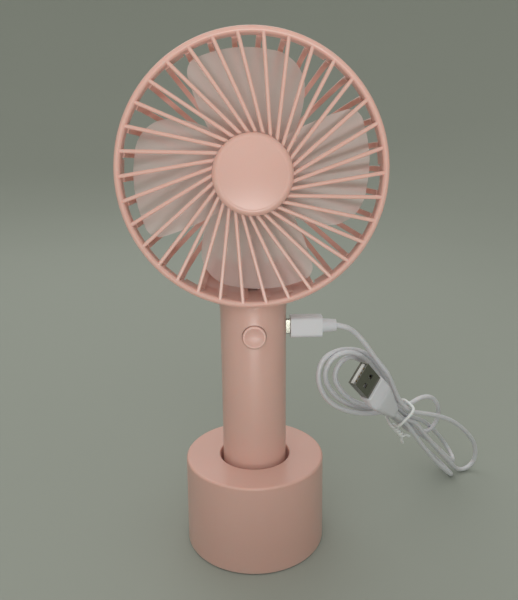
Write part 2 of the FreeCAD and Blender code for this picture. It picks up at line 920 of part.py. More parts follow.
def handle_screws():
    seat = handle_radius - screw_recess
    low = screw(low_screw_length, screw_head_radius, screw_head_height, screw_radius)
    low.translate(V(0, seat, boss_height))
    high = screw(neck_screw_length, screw_head_radius, screw_head_height, screw_radius)
    high.translate(V(0, handle_radius - 0.3, neck_screw_height))
    return Part.makeCompound([low, high])


# ---- button, board and socket --------------------------------------------------------


def power_button():
    front = -handle_radius - button_proud
    cap = along("y", button_radius, front, button_stop_y + seat_gap, (0, button_height))
    rim = [e for e in cap.Edges if len(e.Vertexes) == 1 and abs(e.BoundBox.YMax - front) < 0.01]
    cap = cap.makeFillet(button_dome, rim)
    dish_radius = (button_dish_radius ** 2 + button_dish_depth ** 2) / (2 * button_dish_depth)
    dish_middle = V(0, front + button_dish_depth - dish_radius, button_height)
    cap = cap.cut(Part.makeSphere(dish_radius, dish_middle))
    flange_back = button_stop_y + seat_gap + button_flange_thickness
    flange = along("y", button_flange_radius, button_stop_y + seat_gap, flange_back, (0, button_height))
    stem_end = board_front - switch_depth - plunger_proud
    stem = along("y", button_stem_radius, flange_back, stem_end, (0, button_height))
    return fused([cap, flange, stem])


def switch_plunger():
    front = board_front - switch_depth - plunger_proud
    return along("y", plunger_radius, front, front + plunger_proud + plunger_sunk, (0, button_height))


def tact_switch():
    half = switch_size / 2
    body = block(
        (-half, board_front - switch_depth, button_height - half),
        (half, board_front, button_height + half),
    )
    well = along("y", plunger_radius + seat_gap, board_front - switch_depth, board_front - 0.6, (0, button_height))
    return body.cut(well)


def circuit_board():
    board_back = board_front + board_thickness
    board = block(
        (-board_half_width, board_front, board_bottom),
        (board_half_width, board_back, board_top),
    )
    corners = [e for e in board.Edges if abs(e.Length - board_thickness) < 0.01]
    return board.makeFillet(1.0, corners)


def board_components():
    back = board_front + board_thickness
    low = board_bottom
    parts = [
        block((-6.4, back, low + 8.0), (-1.4, back + 1.5, low + 13.0)),
        block((1.0, back, low + 4.0), (6.0, back + 3.0, low + 9.0)),
        block((-8.0, back, low + 2.0), (-6.0, back + 0.9, low + 3.2)),
        block((-4.6, back, low + 2.0), (-2.6, back + 0.9, low + 3.2)),
        block((-8.6, back, low + 18.0), (-5.4, back + 1.1, low + 19.6)),
        block((-8.0, board_front - 1.0, low + 6.0), (-5.0, board_front, low + 8.4)),
        block((5.0, board_front - 1.0, low + 6.0), (8.0, board_front, low + 8.4)),
    ]
    return Part.makeCompound(parts)


def flat_tube(x0, x1, width, height, corner):
    # A bar along X with rounded long edges, standing on its narrow side.
    bar = block(
        (x0, -height / 2, socket_height - width / 2),
        (x1, height / 2, socket_height + width / 2),
    )
    long_edges = [e for e in bar.Edges if abs(e.Length - (x1 - x0)) < 0.001 and e.BoundBox.XLength > 0.01]
    return bar.makeFillet(corner, long_edges)


def usb_socket_shell():
    start = socket_mouth_x - socket_length
    outer = flat_tube(
        start, socket_mouth_x,
        socket_inner_width + 2 * socket_wall, socket_inner_height + 2 * socket_wall, 0.6,
    )
    return outer.cut(flat_tube(start + 1.0, socket_mouth_x + 1, socket_inner_width, socket_inner_height, 0.4))


def usb_socket_tongue():
    start = socket_mouth_x - socket_length + 1.0
    return block(
        (start, -tongue_thickness / 2, socket_height - tongue_width / 2),
        (start + tongue_length, tongue_thickness / 2, socket_height + tongue_width / 2),
    )


# ---- battery and wires ---------------------------------------------------------------


def battery_cell():
    body = along("z", cell_radius, cell_bottom, cell_top - 0.8)
    rings = [e for e in body.Edges if len(e.Vertexes) == 1 and e.Length > 40]
    body = body.makeChamfer(0.6, rings)
    return body.fuse(along("z", 2.8, cell_top - 0.9, cell_top)).removeSplitter()


def battery_sleeve():
    outer = along("z", cell_radius + sleeve_thickness + 0.02, cell_bottom + 1.2, cell_top - 2.0)
    return outer.cut(along("z", cell_radius + 0.02, cell_bottom, cell_top))


def battery_tabs():
    half = tab_width / 2
    low = block((-8.0, -half, cell_bottom - tab_thickness), (2.5, half, cell_bottom))
    high = block((-2.5, -half, cell_top), (8.0, half, cell_top + tab_thickness))
    return Part.makeCompound([low, high])


def battery_foam_pads():
    low = along("z", 8.0, handle_bottom + handle_floor, cell_bottom - tab_thickness)
    tab_top = cell_top + tab_thickness
    high = along("z", 4.5, tab_top, tab_top + top_foam_thickness)
    return Part.makeCompound([low, high])


def battery_wires():
    board_back = board_front + board_thickness
    red = [
        (7.0, 0.4, cell_top + tab_thickness + 0.1), (7.0, 0.5, cell_top + 5),
        (7.8, 0.2, cell_top + 9), (8.2, board_back + wire_radius, cell_top + 14),
    ]
    black = [
        (-8.1, 0.0, cell_bottom - 0.7), (-10.6, 0.1, cell_bottom - 0.6),
        (-11.3, 0.0, cell_bottom + 3.1), (-11.4, 0.3, cell_top - 6),
        (-10.4, 0.4, cell_top + 4), (-8.6, board_back + wire_radius, cell_top + 12),
    ]
    return [("battery_wire_red", red), ("battery_wire_black", black)]


# ---- stand ---------------------------------------------------------------------------


def funnel_radius(height):
    # The lead-in cone narrows from the mouth of the socket down to its grip.
    share = (height - socket_cone_bottom) / (stand_height - socket_mouth_edge - socket_cone_bottom)
    return socket_grip_radius + share * (socket_mouth_radius - socket_grip_radius)


def base_shell():
    def place(point):
        return V(point[0], 0, point[1])

    bottom = stand_shell_lift
    top = stand_height
    under = top - stand_wall
    lean = (stand_bottom_radius - stand_top_radius) / (top - bottom)
    inner_top = stand_top_radius - stand_wall + lean * stand_wall
    inner_bottom = stand_bottom_radius - stand_wall
    edge = stand_edge
    shell = outline(
        (funnel_radius(under), under),
        [
            [(inner_top, under)],
            [(inner_bottom, bottom)],
            [(stand_bottom_radius, bottom)],
            [(stand_top_radius + lean * edge, top - edge)],
            [(stand_top_radius - 0.3 * edge, top - 0.3 * edge), (stand_top_radius - edge, top)],
            [(socket_mouth_radius + socket_mouth_edge, top)],
            [(socket_mouth_radius, top - socket_mouth_edge)],
        ],
        place,
    ).revolve(V(0, 0, 0), Z_AXIS, 360)
    pieces = [shell]
    rib_low = under - stand_rib_drop
    rib_start = socket_mouth_radius + socket_tube_wall + seat_gap
    half = stand_rib_thickness / 2
    for index in range(stand_rib_count):
        rib = block((rib_start, -half, rib_low), (inner_top + 0.2, half, under + 0.5))
        rib.rotate(V(0, 0, 0), Z_AXIS, index * 360.0 / stand_rib_count)
        pieces.append(rib)
    boss_bottom = floor_plate_bottom + floor_plate_thickness
    for x, y in stand_boss_places():
        pieces.append(along("z", stand_boss_radius, boss_bottom, under + 0.5, (x, y)))
    shell = fused(pieces)
    for x, y in stand_boss_places():
        pilot = along("z", screw_radius + fit_gap, boss_bottom, boss_bottom + stand_pilot_length, (x, y))
        shell = shell.cut(pilot)
    return shell


def base_socket():
    # The cup that the handle stands in, clamped between the shell's top and the floor plate.
    def place(point):
        return V(point[0], 0, point[1])

    under = stand_height - stand_wall
    floor_bottom = handle_bottom - socket_tube_wall
    tube_outer = socket_grip_radius + socket_tube_wall
    stub_bottom = floor_plate_bottom + floor_plate_thickness
    return outline(
        (0, floor_bottom),
        [
            [(socket_stub_radius - socket_tube_wall, floor_bottom)],
            [(socket_stub_radius - socket_tube_wall, stub_bottom)],
            [(socket_stub_radius, stub_bottom)],
            [(socket_stub_radius, floor_bottom)],
            [(tube_outer, floor_bottom)],
            [(tube_outer, socket_cone_bottom)],
            [(socket_mouth_radius + socket_tube_wall, under)],
            [(funnel_radius(under), under)],
            [(socket_grip_radius, socket_cone_bottom)],
            [(socket_grip_radius, handle_bottom)],
            [(0, handle_bottom)],
        ],
        place,
    ).revolve(V(0, 0, 0), Z_AXIS, 360)


def stand_boss_places():
    places = []
    circle = stand_bottom_radius - stand_wall - stand_boss_inset
    for index in range(stand_boss_count):
        angle = math.radians(90 + 360.0 * index / stand_boss_count)
        places.append((circle * math.cos(angle), circle * math.sin(angle)))
    return places


def base_floor_plate():
    low = floor_plate_bottom
    high = low + floor_plate_thickness
    radius = stand_bottom_radius - stand_wall - sliding_gap
    plate = along("z", radius, low, high)
    for x, y in stand_boss_places():
        plate = plate.cut(along("z", screw_radius + 0.25, low, high, (x, y)))
        plate = plate.cut(along("z", stand_screw_head_radius + 0.2, low, high - 0.8, (x, y)))
    return plate


def base_screws():
    group = []
    for x, y in stand_boss_places():
        one = screw(stand_screw_length, stand_screw_head_radius, small_screw_head_height, screw_radius)
        one.rotate(V(0, 0, 0), X_AXIS, -90)
        one.translate(V(x, y, floor_plate_bottom + floor_plate_thickness - 0.8))
        group.append(one)
    return Part.makeCompound(group)


def base_foot_pad():
    radius = stand_bottom_radius - stand_wall - foot_pad_margin
    pad = along("z", radius, 0, floor_plate_bottom)
    return pad.cut(along("z", radius - foot_pad_width, 0, floor_plate_bottom / 2))


# ---- charging cord -------------------------------------------------------------------

metal_face_x = handle_radius + plug_metal_showing
overmould_back_x = metal_face_x + overmould_length
cord_exit = (overmould_back_x + relief_length, 0.0, socket_height)


def usb_plug_metal():
    start = handle_radius - plug_insertion
    outer = flat_tube(start, metal_face_x, plug_metal_width, plug_metal_height, 0.4)
    hollow = flat_tube(
        start - 1, start + plug_hollow,
        plug_metal_width - 2 * plug_metal_wall, plug_metal_height - 2 * plug_metal_wall, 0.2,
    )
    return outer.cut(hollow)


def usb_plug_overmould():
    body = block(
        (metal_face_x, -overmould_height / 2, socket_height - overmould_width / 2),
        (overmould_back_x, overmould_height / 2, socket_height + overmould_width / 2),
    )
    long_edges = [e for e in body.Edges if e.BoundBox.XLength > overmould_length - 1]
    body = body.makeFillet(overmould_edge, long_edges)
    relief = Part.makeCone(
        relief_radius_near, relief_radius_far, relief_length,
        V(overmould_back_x, 0, socket_height), X_AXIS,
    )
    return fused([body, relief])


def cord_route():
    places = zip(cord_route_x, cord_route_y, cord_route_z)
    return [(cord_exit[0] + x, y, cord_exit[2] + z) for x, y, z in places]


def bundle_placement():
    # Local X runs down the bundle, local Z stands out of its front.
    down = (V(*bundle_foot) - V(*cord_exit)).normalize()
    faces = V(*bundle_faces)
    front = (faces - down * faces.dot(down)).normalize()
    across = front.cross(down)
    matrix = FreeCAD.Matrix(
        down.x, across.x, front.x, cord_exit[0],
        down.y, across.y, front.y, cord_exit[1],
        down.z, across.z, front.z, cord_exit[2],
        0, 0, 0, 1,
    )
    return FreeCAD.Placement(matrix)


def in_bundle(shape):
    moved = shape.copy()
    moved.Placement = bundle_placement().multiply(moved.Placement)
    return moved


def drop_shape(centre_a, radius_a, centre_b, radius_b, low, high):
    # The outline that a band would take round two pegs, given a thickness.
    a = V(centre_a[0], centre_a[1], low)
    b = V(centre_b[0], centre_b[1], low)
    reach = (b - a).Length
    base = math.atan2(b.y - a.y, b.x - a.x)
    lean = math.acos((radius_a - radius_b) / reach)

    def peg(centre, radius, angle):
        return centre + V(radius * math.cos(base + angle), radius * math.sin(base + angle), 0)

    edges = [
        Part.Arc(peg(a, radius_a, lean), peg(a, radius_a, math.pi), peg(a, radius_a, -lean)).toShape(),
        Part.LineSegment(peg(a, radius_a, -lean), peg(b, radius_b, -lean)).toShape(),
        Part.Arc(peg(b, radius_b, -lean), peg(b, radius_b, 0), peg(b, radius_b, lean)).toShape(),
        Part.LineSegment(peg(b, radius_b, lean), peg(a, radius_a, lean)).toShape(),
    ]
    return Part.Face(Part.Wire(edges)).extrude(V(0, 0, high - low))


def toward(start, end, distance):
    step = V(end[0] - start[0], end[1] - start[1], 0)
    step = step.normalize() * distance
    return (end[0] - step.x, end[1] - step.y)


def cord_hank():
    half = bundle_thickness / 2
    upper = drop_shape(upper_loop_at, upper_loop_radius, waist_at, waist_radius, -half, half)
    lower = drop_shape(lower_loop_at, lower_loop_radius, waist_at, waist_radius, -half, half)
    upper_end = toward(upper_loop_at, waist_at, hole_waist_gap)
    lower_end = toward(lower_loop_at, waist_at, hole_waist_gap)
    upper_hole = drop_shape(upper_loop_at, upper_hole_radius, upper_end, 2.0, -half, half)
    lower_hole = drop_shape(lower_loop_at, lower_hole_radius, lower_end, 1.5, -half, half)
    return in_bundle(fused([upper, lower]).cut(upper_hole).cut(lower_hole))


def twist_tie():
    # A covered wire bent once round the bundle's waist, with its two ends twisted into a tail.
    out = waist_radius + tie_slack + tie_radius
    back = -bundle_thickness / 2 - seat_gap - tie_radius
    tie_at, middle = waist_at

    def place(across, lift):
        return V(tie_at, middle + across, lift)

    corners = [
        (out, back, tie_back_corner),
        (out, tie_front, tie_front_corner),
        (-out, tie_front, tie_front_corner),
        (-out, back, tie_back_corner),
    ]
    directions = [(0, 1), (-1, 0), (0, -1), (1, 0)]
    edges = []
    for index, (across, lift, bend) in enumerate(corners):
        before = directions[index - 1]
        after = directions[index]
        inset = bend * (1 - math.sqrt(0.5))
        start = place(across - before[0] * bend, lift - before[1] * bend)
        crown = place(across - inset * (before[0] - after[0]), lift - inset * (before[1] - after[1]))
        end = place(across + after[0] * bend, lift + after[1] * bend)
        edges.append(Part.Arc(start, crown, end).toShape())
        next_across, next_lift, next_bend = corners[(index + 1) % 4]
        following = place(next_across - after[0] * next_bend, next_lift - after[1] * next_bend)
        edges.append(Part.LineSegment(end, following).toShape())
    path = Part.Wire(edges)
    section = Part.Wire(Part.makeCircle(tie_radius, edges[0].Vertexes[0].Point, Y_AXIS))
    loop = path.makePipeShell([section], True, True)
    tail_start = place(-out, tie_front - tie_front_corner)
    tail = Part.makeCylinder(1.25 * tie_radius, tie_tail_length, tail_start, V(0.985, -0.12, 0.1))
    return in_bundle(loop.fuse(tail).removeSplitter())


def cord_tail():
    # The cord's last stretch, from the full-size plug under the tie and into the bundle.
    rear = V(*usb_a_rear)
    points = [rear] + [rear + V(*step) for step in cord_tail_steps]
    return in_bundle(tube(points, cord_radius)[0])


def usb_a_frame():
    # Local X runs from the mouth to the rear, local Z out of the wide face.
    mouth = V(*usb_a_mouth)
    back = (V(*usb_a_rear) - mouth).normalize()
    up = V(0, 0, 1)
    up = (up - back * up.dot(back)).normalize()
    side = up.cross(back)
    matrix = FreeCAD.Matrix(
        back.x, side.x, up.x, mouth.x,
        back.y, side.y, up.y, mouth.y,
        back.z, side.z, up.z, mouth.z,
        0, 0, 0, 1,
    )
    roll = FreeCAD.Placement(V(0, 0, 0), FreeCAD.Rotation(X_AXIS, usb_a_roll))
    return FreeCAD.Placement(matrix).multiply(roll)


def on_usb_a(shape):
    moved = shape.copy()
    moved.Placement = usb_a_frame().multiply(moved.Placement)
    return in_bundle(moved)


def centred(x0, x1, width, height, z=0.0):
    return block((x0, -width / 2, z - height / 2), (x1, width / 2, z + height / 2))


def usb_a_shell():
    outer = centred(0, usb_a_metal_length, usb_a_metal_width, usb_a_metal_height)
    inner = centred(
        -1, usb_a_metal_length - 1.5,
        usb_a_metal_width - 2 * usb_a_metal_wall, usb_a_metal_height - 2 * usb_a_metal_wall,
    )
    shell = outer.cut(inner)
    for side in (-1, 1):
        for face in (-1, 1):
            hole = centred(5.0, 7.2, 2.2, 1.0, face * usb_a_metal_height / 2)
            hole.translate(V(0, side * 2.6, 0))
            shell = shell.cut(hole)
    return on_usb_a(shell)


def usb_a_tongue():
    floor = -usb_a_metal_height / 2 + usb_a_metal_wall + seat_gap
    width = usb_a_metal_width - 2 * usb_a_metal_wall - 2 * seat_gap
    return on_usb_a(centred(0.8, usb_a_metal_length - 1.6, width, 1.8, floor + 0.9))


def usb_a_contacts():
    floor = -usb_a_metal_height / 2 + usb_a_metal_wall + seat_gap + 1.8
    strips = []
    for y, length in ((-3.5, 7.4), (-1.0, 6.4), (1.0, 6.4), (3.5, 7.4)):
        strip = centred(1.4, 1.4 + length, 1.0, 0.2, floor + 0.1)
        strip.translate(V(0, y, 0))
        strips.append(on_usb_a(strip))
    return Part.makeCompound(strips)


def usb_a_overmould():
    start = usb_a_metal_length
    total = (V(*usb_a_rear) - V(*usb_a_mouth)).Length
    straight = start + usb_a_body_straight
    body = centred(start, straight, usb_a_body_width, usb_a_body_height)
    edges = [e for e in body.Edges if e.BoundBox.XLength > usb_a_body_straight - 1]
    body = body.makeFillet(usb_a_body_edge, edges)
    near = Part.Wire(Part.makePolygon([
        V(straight, y * usb_a_body_width / 2, z * usb_a_body_height / 2)
        for y, z in ((-0.82, -1), (0.82, -1), (1, -0.6), (1, 0.6), (0.82, 1), (-0.82, 1), (-1, 0.6), (-1, -0.6), (-0.82, -1))
    ]))
    far = Part.Wire(Part.makePolygon([
        V(total, y * usb_a_tail_width / 2, z * usb_a_tail_height / 2)
        for y, z in ((-0.82, -1), (0.82, -1), (1, -0.6), (1, 0.6), (0.82, 1), (-0.82, 1), (-1, 0.6), (-1, -0.6), (-0.82, -1))
    ]))
    taper = Part.makeLoft([near, far], True, True)
    return on_usb_a(fused([body, taper]))


os.makedirs("parts", exist_ok=True)

save("base_shell", base_shell())
save("base_socket", base_socket())
save("base_floor_plate", base_floor_plate())
save("base_foot_pad", base_foot_pad())
save("base_screws", base_screws())
save("cage_front", cage_front())
save("hub_cap", hub_cap())
save("cage_rear", cage_rear())
save("wire_cover", wire_cover())
save("rear_hub_cover", rear_hub_cover())
save("fan_blades", fan_blades())
save("motor_shaft", motor_shaft())
save("motor_can", motor_can())
save("motor_end_cap", motor_end_cap())
save("motor_bushes", motor_bushes())
save("motor_magnets", motor_magnets())
save("motor_armature", motor_armature())
save("armature_windings", armature_windings())
save("commutator", commutator())
save("motor_brushes", motor_brushes())
save("motor_mount_screws", motor_mount_screws())
save("handle_front_shell", handle_front_shell())
save("handle_rear_shell", handle_rear_shell())
save("handle_screws", handle_screws())
save("power_button", power_button())
save("switch_plunger", switch_plunger())
save("tact_switch", tact_switch())
save("circuit_board", circuit_board())
save("board_components", board_components())
save("usb_socket_shell", usb_socket_shell())
save("usb_socket_tongue", usb_socket_tongue())
save("battery_cell", battery_cell())
save("battery_sleeve", battery_sleeve())
save("battery_tabs", battery_tabs())
save("battery_foam_pads", battery_foam_pads())
for wire_name, route in battery_wires():
    save(wire_name, tube(route, wire_radius)[0])
for wire_name, wire_side in (("motor_wire_red", 1), ("motor_wire_black", -1)):
    save(wire_name, tube(wire_route(wire_side), wire_radius)[0])
save("usb_plug_metal", usb_plug_metal())
save("usb_plug_overmould", usb_plug_overmould())
lead, lead_length, lead_radii = tube(cord_route(), cord_radius)
lead_section = math.pi * cord_radius ** 2
print("lead length %.1f, radii %s, volume %.1f of %.1f" % (
    lead_length, lead_radii, lead.Volume, lead_section * lead_length))
save("cord_lead", lead)
save("cord_hank", cord_hank())
save("cord_tail", cord_tail())
save("twist_tie", twist_tie())
save("usb_a_shell", usb_a_shell())
save("usb_a_tongue", usb_a_tongue())
save("usb_a_contacts", usb_a_contacts())
save("usb_a_overmould", usb_a_overmould())
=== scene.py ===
import bpy
import bmesh
import math
from mathutils import Euler, Matrix, Vector


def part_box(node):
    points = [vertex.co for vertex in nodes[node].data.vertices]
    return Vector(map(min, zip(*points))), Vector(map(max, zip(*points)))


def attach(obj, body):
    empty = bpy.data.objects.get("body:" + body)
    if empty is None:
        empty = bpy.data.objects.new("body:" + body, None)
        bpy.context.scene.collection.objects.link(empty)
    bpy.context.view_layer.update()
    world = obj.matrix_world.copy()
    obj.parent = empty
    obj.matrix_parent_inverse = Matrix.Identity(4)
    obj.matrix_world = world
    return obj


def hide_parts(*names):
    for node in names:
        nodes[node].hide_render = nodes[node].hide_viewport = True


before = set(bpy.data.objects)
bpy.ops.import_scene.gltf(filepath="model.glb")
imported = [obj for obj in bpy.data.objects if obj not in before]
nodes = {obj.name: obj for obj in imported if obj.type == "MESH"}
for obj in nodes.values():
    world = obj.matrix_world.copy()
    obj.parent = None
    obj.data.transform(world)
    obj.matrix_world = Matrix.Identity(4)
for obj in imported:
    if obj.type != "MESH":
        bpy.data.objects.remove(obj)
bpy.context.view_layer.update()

# ---- Camera ------------------------------------------------------------------------------
# A little above the grille's middle and square to it, tipped down towards the stand.
camera_data = bpy.data.cameras.new("view")
camera_data.sensor_width = 36.0
camera_data.lens = 34.62
camera_data.clip_start = 0.01
camera = bpy.data.objects.new("view", camera_data)
camera.location = (-0.0066, -0.2541, 0.1824)
camera.rotation_euler = Euler((math.radians(75.939), math.radians(0.485), math.radians(-2.221)), "XYZ")
bpy.context.collection.objects.link(camera)
bpy.context.scene.camera = camera
bpy.context.scene.view_settings.view_transform = "Standard"

# ---- Moulded salmon shells -----------------------------------------------------------------
# The stand, the handle, both halves of the cage, the hub cap and the button are injection
# moulded ABS in one pale salmon. They snap and screw together and none of them is painted.
mm = 0.001


def linear(code):
    # sRGB hex to the linear values that the shader reads.
    channels = [int(code[i:i + 2], 16) / 255 for i in (1, 3, 5)]
    return [c / 12.92 if c <= 0.04045 else ((c + 0.055) / 1.055) ** 2.4 for c in channels] + [1.0]


def add_node(material, kind, settings=None, links=None):
    # One node with its own settings, its socket values and what feeds its sockets.
    tree = material.node_tree
    node = tree.nodes.new(kind)
    for name, value in (settings or {}).items():
        if name in node.inputs:
            node.inputs[name].default_value = value
        else:
            setattr(node, name, value)
    for name, source in (links or {}).items():
        tree.links.new(source, node.inputs[name])
    return node


def new_material(name):
    material = bpy.data.materials.new(name)
    material.use_nodes = True
    material.node_tree.nodes.clear()
    return material


def finish_material(material, shader):
    output = add_node(material, "ShaderNodeOutputMaterial")
    material.node_tree.links.new(shader.outputs[0], output.inputs["Surface"])


def dress(material, *names):
    # Gives a CAD node's object its material in place of the plain one.
    for name in names:
        mesh = nodes[name].data
        if not mesh.materials:
            mesh.materials.append(material)
        for index in range(len(mesh.materials)):
            mesh.materials[index] = material


def moulded_plastic(name, colour, shade, roughness, grain_mm, grain_depth_mm, subsurface=0.0):
    # Moulded thermoplastic: a soft broad highlight, faint flow shading where the melt cooled
    # unevenly, and an even grain from the spark-eroded mould. The real grain is too fine to
    # show, so it is drawn coarser.
    flow_patch_mm = 30
    material = new_material(name)
    place = add_node(material, "ShaderNodeTexCoord").outputs["Object"]
    flow = add_node(
        material, "ShaderNodeTexNoise", {"Scale": 1 / (flow_patch_mm * mm), "Detail": 2.0}, {"Vector": place}
    )
    tint = add_node(material, "ShaderNodeMix", {"data_type": "RGBA"}, {"Factor": flow.outputs["Fac"]})
    tint.inputs[6].default_value = linear(colour)
    tint.inputs[7].default_value = linear(shade)
    grain = add_node(
        material, "ShaderNodeTexNoise", {"Scale": 1 / (grain_mm * mm), "Detail": 3.0}, {"Vector": place}
    )
    bump = add_node(
        material, "ShaderNodeBump",
        {"Strength": 0.5, "Distance": grain_depth_mm * mm},
        {"Height": grain.outputs["Fac"]},
    )
    sheen = add_node(
        material, "ShaderNodeMapRange",
        {"To Min": roughness - 0.04, "To Max": roughness + 0.05},
        {"Value": flow.outputs["Fac"]},
    )
    shader = add_node(
        material, "ShaderNodeBsdfPrincipled",
        {"IOR": 1.53, "Subsurface Weight": subsurface, "Subsurface Radius": (0.005, 0.0022, 0.0016),
         "Subsurface Scale": 1.0},
        {"Base Color": tint.outputs[2], "Roughness": sheen.outputs[0], "Normal": bump.outputs["Normal"]},
    )
    finish_material(material, shader)
    return material


# Satin ABS, pale, with a soft broad highlight, that lets some light in at its thin ribs.
salmon_abs = moulded_plastic("salmon_abs", "#e5b9ad", "#e0b1a5", 0.31, 0.35, 0.03, 0.3)
dress(salmon_abs, "base_shell", "base_socket", "handle_front_shell", "handle_rear_shell", "wire_cover",
      "cage_front", "cage_rear", "rear_hub_cover", "hub_cap", "power_button")

# ---- Stand's underside ----------------------------------------------------------------------
# A floor plate of the same plastic, screwed in from below, and a ring of grey foam rubber
# glued under it for the stand to grip the table with.
foam_rubber = moulded_plastic("foam_rubber", "#5c5957", "#55524f", 0.85, 0.5, 0.08)
dress(foam_rubber, "base_foot_pad")
plate_abs = moulded_plastic("plate_abs", "#d8a79a", "#d29f91", 0.5, 0.35, 0.03)
dress(plate_abs, "base_floor_plate")

# ---- Impeller ---------------------------------------------------------------------------------
# Hub and broad blades in one moulding of frosted polystyrene, pressed onto the motor's shaft.
# It is thin enough for light, and for the salmon ribs behind it, to come through.
frost_grain_mm = 0.5
milky_patch_mm = 18
frosted_polystyrene = new_material("frosted_polystyrene")
blade_place = add_node(frosted_polystyrene, "ShaderNodeTexCoord").outputs["Object"]
frost = add_node(
    frosted_polystyrene, "ShaderNodeTexNoise",
    {"Scale": 1 / (frost_grain_mm * mm), "Detail": 2.0},
    {"Vector": blade_place},
)
frost_bump = add_node(
    frosted_polystyrene, "ShaderNodeBump",
    {"Strength": 0.4, "Distance": 0.03 * mm},
    {"Height": frost.outputs["Fac"]},
)
frost_milk = add_node(
    frosted_polystyrene, "ShaderNodeTexNoise",
    {"Scale": 1 / (milky_patch_mm * mm), "Detail": 1.0},
    {"Vector": blade_place},
)
blade_tint = add_node(
    frosted_polystyrene, "ShaderNodeMix", {"data_type": "RGBA"}, {"Factor": frost_milk.outputs["Fac"]}
)
blade_tint.inputs[6].default_value = linear("#fdf2ee")
blade_tint.inputs[7].default_value = linear("#f9eae5")
blade_shine = add_node(
    frosted_polystyrene, "ShaderNodeMapRange",
    {"To Min": 0.33, "To Max": 0.41},
    {"Value": frost_milk.outputs["Fac"]},
)
blade_body = add_node(
    frosted_polystyrene, "ShaderNodeBsdfPrincipled",
    {"IOR": 1.45, "Transmission Weight": 0.6, "Alpha": 0.68},
    {"Base Color": blade_tint.outputs[2], "Roughness": blade_shine.outputs[0],
     "Normal": frost_bump.outputs["Normal"]},
)
finish_material(frosted_polystyrene, blade_body)
dress(frosted_polystyrene, "fan_blades")

# ---- Metals of the motor, screws and plugs ------------------------------------------------------
# Plated and bare steel, turned brass and enamelled copper, mostly out of sight inside. The
# plugs' shells are folded from nickel plated strip.


def plain_metal(name, colour, roughness):
    # Rolled or turned metal: faint streaks along one way carry most of its look.
    streak_mm = 1.2
    material = new_material(name)
    place = add_node(material, "ShaderNodeTexCoord").outputs["Object"]
    turn = add_node(material, "ShaderNodeMapping", {"Scale": (1.0, 8.0, 1.0)}, {"Vector": place})
    streak = add_node(
        material, "ShaderNodeTexNoise",
        {"Scale": 1 / (streak_mm * mm), "Detail": 2.0},
        {"Vector": turn.outputs[0]},
    )
    shine = add_node(
        material, "ShaderNodeMapRange",
        {"To Min": roughness - 0.06, "To Max": roughness + 0.08},
        {"Value": streak.outputs["Fac"]},
    )
    scratch = add_node(
        material, "ShaderNodeBump",
        {"Strength": 0.2, "Distance": 0.01 * mm},
        {"Height": streak.outputs["Fac"]},
    )
    shader = add_node(
        material, "ShaderNodeBsdfPrincipled",
        {"Base Color": linear(colour), "Metallic": 1.0},
        {"Roughness": shine.outputs[0], "Normal": scratch.outputs["Normal"]},
    )
    finish_material(material, shader)
    return material


zinc_screw_steel = plain_metal("zinc_screw_steel", "#b9bbbd", 0.3)
dress(zinc_screw_steel, "base_screws", "handle_screws", "motor_mount_screws", "motor_shaft")
# Nickel plating, painted a dull brownish grey rather than bright: the darker colour is painted shade that
# stands in for the dark surroundings the shells reflect.
nickel_steel_painted_dark = plain_metal("nickel_steel_painted_dark", "#85847a", 0.2)
dress(nickel_steel_painted_dark, "usb_plug_metal", "usb_a_shell", "usb_socket_shell", "motor_can", "battery_tabs",
      "battery_cell")
laminated_steel = plain_metal("laminated_steel", "#8d8f91", 0.4)
dress(laminated_steel, "motor_armature")
turned_brass = plain_metal("turned_brass", "#cba24f", 0.28)
dress(turned_brass, "motor_bushes", "motor_brushes", "commutator", "usb_a_contacts")
enamelled_copper = plain_metal("enamelled_copper", "#b4623a", 0.25)
dress(enamelled_copper, "armature_windings")

# ---- Electronics and battery -----------------------------------------------------------------
# Black nylon, a green glass board and coloured sleeves, soldered or glued in place and all
# closed inside the handle.
black_nylon = moulded_plastic("black_nylon", "#26272a", "#202124", 0.5, 0.4, 0.02)
dress(black_nylon, "motor_end_cap", "switch_plunger", "tact_switch", "board_components",
      "usb_socket_tongue", "motor_wire_black", "battery_wire_black")
glass_epoxy_board = moulded_plastic("glass_epoxy_board", "#1f6a3c", "#1a5c33", 0.35, 0.6, 0.01)
dress(glass_epoxy_board, "circuit_board")
ferrite = moulded_plastic("ferrite", "#3b3b3d", "#343436", 0.7, 0.5, 0.03)
dress(ferrite, "motor_magnets")
shrink_sleeve = moulded_plastic("shrink_sleeve", "#3f7fc4", "#3a76b8", 0.3, 0.8, 0.01)
dress(shrink_sleeve, "battery_sleeve")
soft_foam = moulded_plastic("soft_foam", "#3a3a3a", "#303030", 0.95, 0.6, 0.15)
dress(soft_foam, "battery_foam_pads")
red_silicone = moulded_plastic("red_silicone", "#b5322b", "#a92c26", 0.45, 0.5, 0.01)
dress(red_silicone, "motor_wire_red", "battery_wire_red")

# ---- Charging cord ---------------------------------------------------------------------------
# One metre of round white PVC cord, 2.5 mm thick. It leaves its plug, is wound into three ring
# turns and four folds through one tie, and ends in the full-size plug that lies in front.
cord_diameter = 2.5 * mm
relief_low, relief_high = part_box("usb_plug_overmould")
cord_exit = Vector((relief_high[0], 0.0, (relief_low[2] + relief_high[2]) / 2))
bundle_foot = Vector((131.5, 55.0, 5.2)) * mm
bundle_down = (bundle_foot - cord_exit).normalized()
bundle_faces = Vector((-0.23, -0.91, 0.36))
bundle_front = (bundle_faces - bundle_down * bundle_faces.dot(bundle_down)).normalized()
bundle_across = bundle_front.cross(bundle_down)
layer_slip = 1.217


def on_bundle(along, across, lift, slip=0.0):
    # Millimetres down the bundle, across it and out of its front, from where the cord starts.
    reach = bundle_down * (along - slip * lift) + bundle_across * across + bundle_front * lift
    return cord_exit + reach * mm


